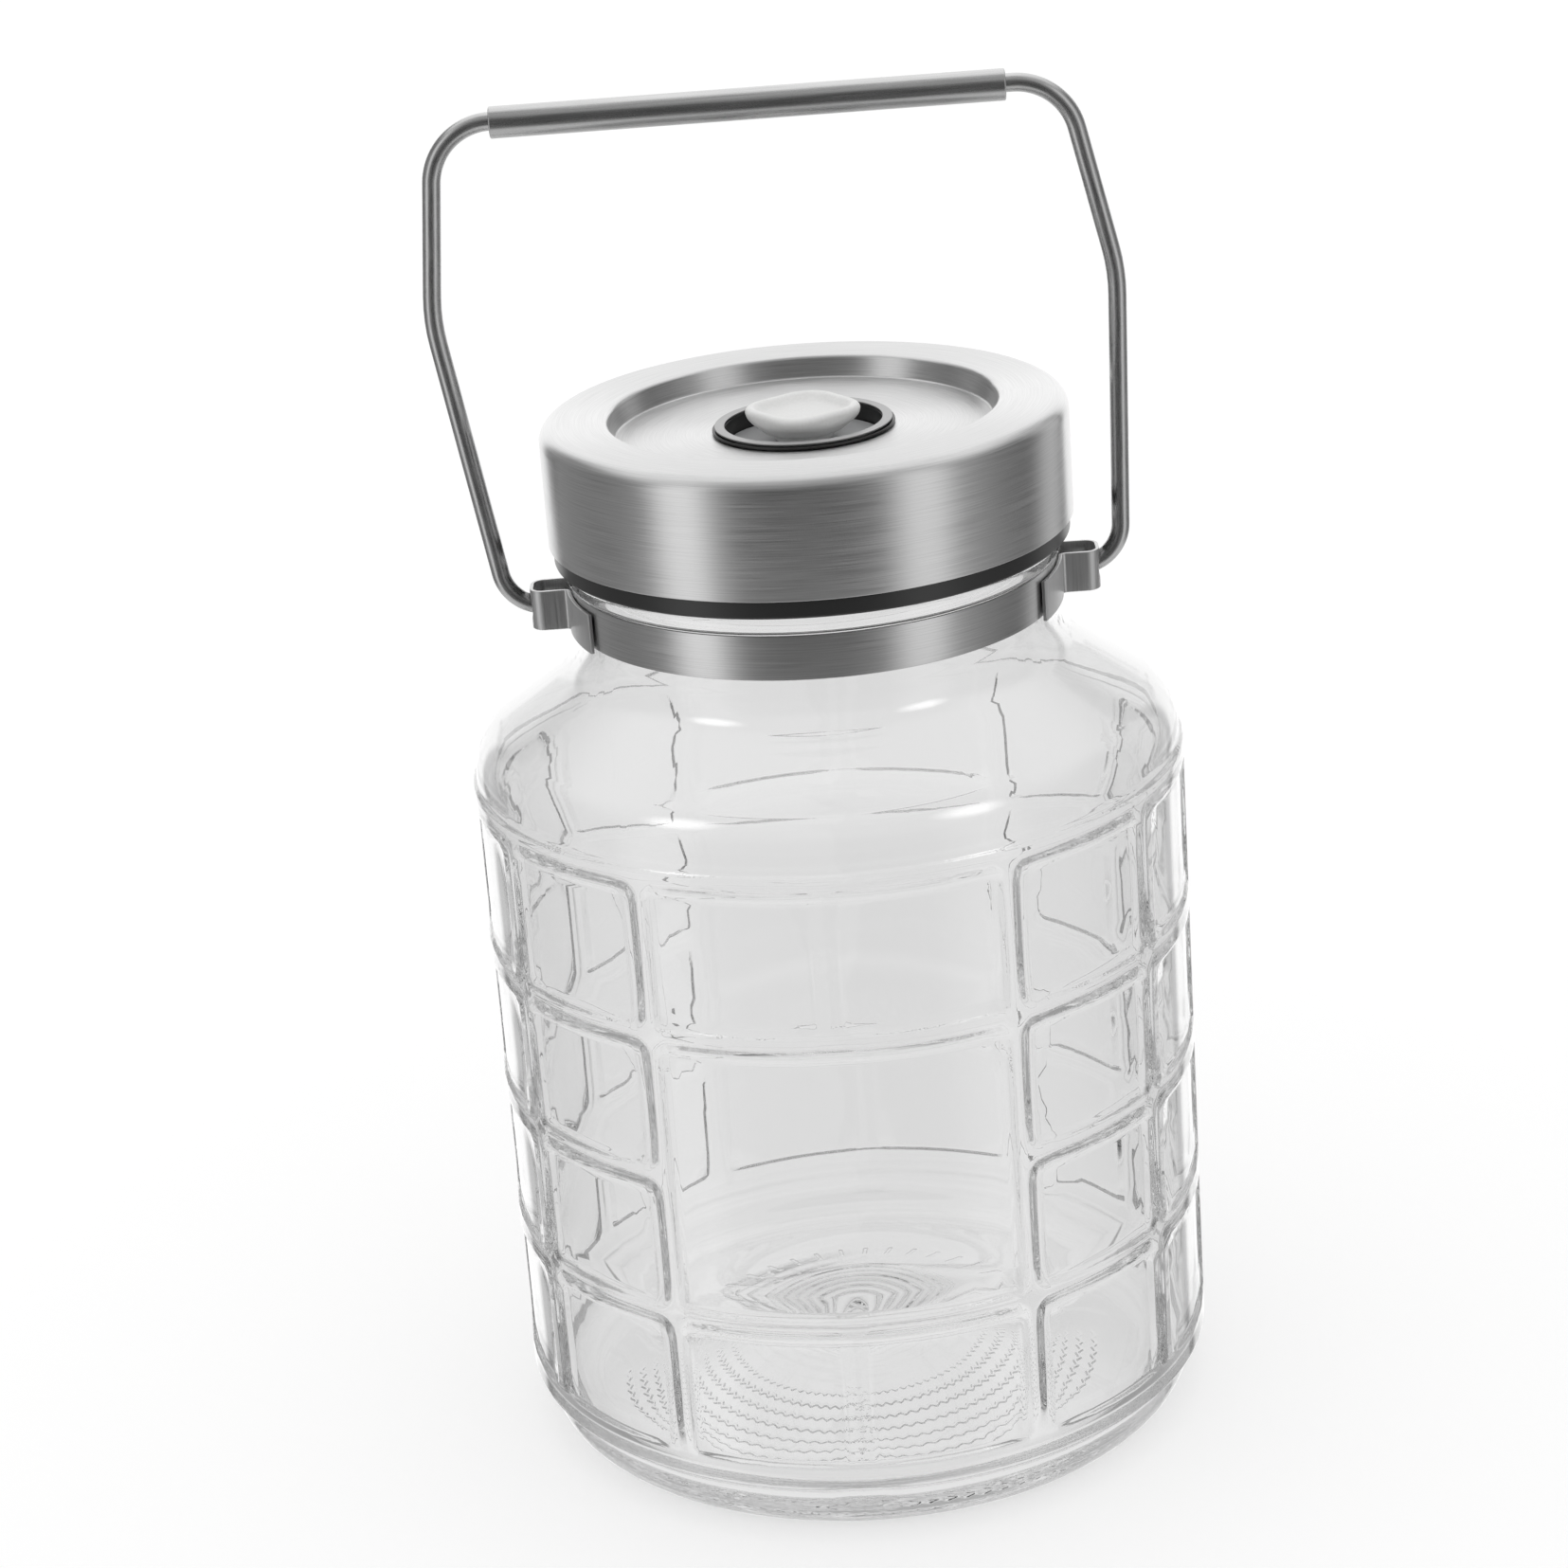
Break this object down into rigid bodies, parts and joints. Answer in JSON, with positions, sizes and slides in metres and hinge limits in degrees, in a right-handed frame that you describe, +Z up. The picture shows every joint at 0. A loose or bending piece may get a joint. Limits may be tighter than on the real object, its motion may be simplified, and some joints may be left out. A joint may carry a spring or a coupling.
{
  "type": "glass fermentation jar",
  "caption": "Clear glass fermentation jar with a raised rib lattice, a steel screw lid with a burping valve, and a wire bail with a tube grip.",
  "frame": {"origin": "centre of the jar's standing face", "axes": "+Z up the jar's axis to the lid; -Y is the front, towards the plain window panel; the bail's ears are on -X and +X"},
  "size_m": [0.1524, 0.1522, 0.293],
  "materials": {
    "clear_glass": "polished, clear",
    "brushed_stainless": "brushed round the axis",
    "black_polypropylene": "satin",
    "clear_silicone": "matte",
    "white_silicone": "satin",
    "grey_polypropylene": "matte",
    "satin_trim": "satin"
  },
  "bodies": {
    "jar": {"jar_body": "clear_glass", "neck_band": "brushed_stainless", "ear_bracket_left": "brushed_stainless", "ear_bracket_right": "brushed_stainless"},
    "bail": {"bail_wire": "brushed_stainless"},
    "grip": {"grip_tube": "brushed_stainless"},
    "lid_carrier": {"lid_gasket": "clear_silicone"},
    "lid": {"lid_shell": "brushed_stainless", "lid_liner": "black_polypropylene", "valve_cup": "black_polypropylene", "valve_trim_ring": "satin_trim", "valve_disc": "grey_polypropylene", "valve_gasket": "clear_silicone", "valve_nut": "black_polypropylene"},
    "valve": {"valve_knob": "white_silicone", "valve_keeper": "clear_silicone"}
  },
  "joints": [
    {"name": "bail_swing", "type": "hinge", "parent": "jar", "child": "bail", "pos_m": [0, 0, 0.18719], "axis": [1, 0, 0], "range_deg": [-125, 125]},
    {"name": "grip_spin", "type": "hinge", "parent": "bail", "child": "grip", "pos_m": [-0.00675, 0, 0.28979], "axis": [1, 0, 0], "continuous": true},
    {"name": "lid_lift", "type": "slide", "parent": "jar", "child": "lid_carrier", "axis": [0, 0, 1], "range_m": [0, 0.0301]},
    {"name": "lid_turn", "type": "hinge", "parent": "lid_carrier", "child": "lid", "pos_m": [0, 0, 0.21], "axis": [0, 0, 1], "range_deg": [0, 1800]},
    {"name": "valve_pull", "type": "slide", "parent": "lid", "child": "valve", "axis": [0, 0, 1], "range_m": [0, 0.0035]}
  ],
  "couplings": [
    {"joint": "lid_lift", "follows": "lid_turn", "m_per_rad": 0.00095493}
  ]
}
